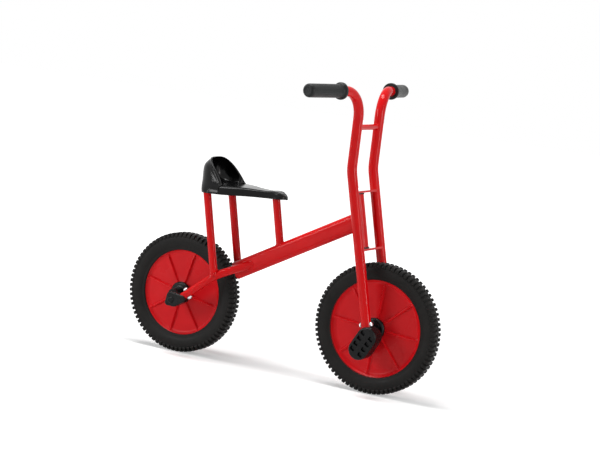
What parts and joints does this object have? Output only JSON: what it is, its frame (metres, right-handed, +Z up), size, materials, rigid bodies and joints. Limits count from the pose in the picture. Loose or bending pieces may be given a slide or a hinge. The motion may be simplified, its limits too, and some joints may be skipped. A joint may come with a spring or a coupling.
{
  "type": "child's runner bicycle",
  "caption": "Child's runner bicycle with a tube frame, raked fork, swept handlebar, bucket seat, ribbed disc wheels, block-tread tyres and rests at the front axle.",
  "frame": {"origin": "on the seat's top face, on the middle plane, where the child sits", "axes": "+X forward, +Y to the left, +Z up"},
  "size_m": [0.868, 0.5616, 0.7564],
  "materials": {
    "red_steel": "gloss powder coat",
    "red_plastic": "satin gloss moulded",
    "tyre_rubber": "matt",
    "grip_rubber": "satin",
    "seat_plastic": "gloss",
    "black_plastic": "satin",
    "zinc_steel": "bright zinc"
  },
  "bodies": {
    "frame": {"main_beam": "red_steel", "head_tube": "red_steel", "head_bush_high": "black_plastic", "head_bush_low": "black_plastic", "stay_right": "red_steel", "stay_left": "red_steel", "seat_post_front": "red_steel", "seat_post_rear_right": "red_steel", "seat_post_rear_left": "red_steel", "seat_shell": "seat_plastic", "rear_axle": "zinc_steel", "rear_axle_block_right": "black_plastic", "rear_axle_block_left": "black_plastic", "stay_bolt_right": "zinc_steel", "stay_bolt_left": "zinc_steel"},
    "steering": {"fork_tube_right": "red_steel", "fork_tube_left": "red_steel", "crossbar": "red_steel", "fork_plate_low": "red_steel", "fork_plate_high": "red_steel", "steering_bolt": "zinc_steel", "grip_right": "grip_rubber", "grip_left": "grip_rubber", "front_axle": "zinc_steel", "foot_rest_right": "black_plastic", "foot_rest_left": "black_plastic", "fork_bolt_right": "zinc_steel", "fork_bolt_left": "zinc_steel"},
    "front_wheel": {"front_rim": "red_plastic", "front_tyre": "tyre_rubber", "front_hub_cap_right": "black_plastic", "front_hub_cap_left": "black_plastic"},
    "rear_wheel": {"rear_rim": "red_plastic", "rear_tyre": "tyre_rubber", "rear_hub_cap_right": "black_plastic", "rear_hub_cap_left": "black_plastic"}
  },
  "joints": [
    {"name": "steering_turn", "type": "hinge", "parent": "frame", "child": "steering", "pos_m": [0.37863, 0, -0.29521], "axis": [-0.2368, 0, 0.9715], "range_deg": [-70, 70]},
    {"name": "front_wheel_spin", "type": "hinge", "parent": "steering", "child": "front_wheel", "pos_m": [0.4, 0, -0.29], "axis": [0, 1, 0], "continuous": true},
    {"name": "rear_wheel_spin", "type": "hinge", "parent": "frame", "child": "rear_wheel", "pos_m": [-0.15, 0, -0.298], "axis": [0, 1, 0], "continuous": true}
  ]
}
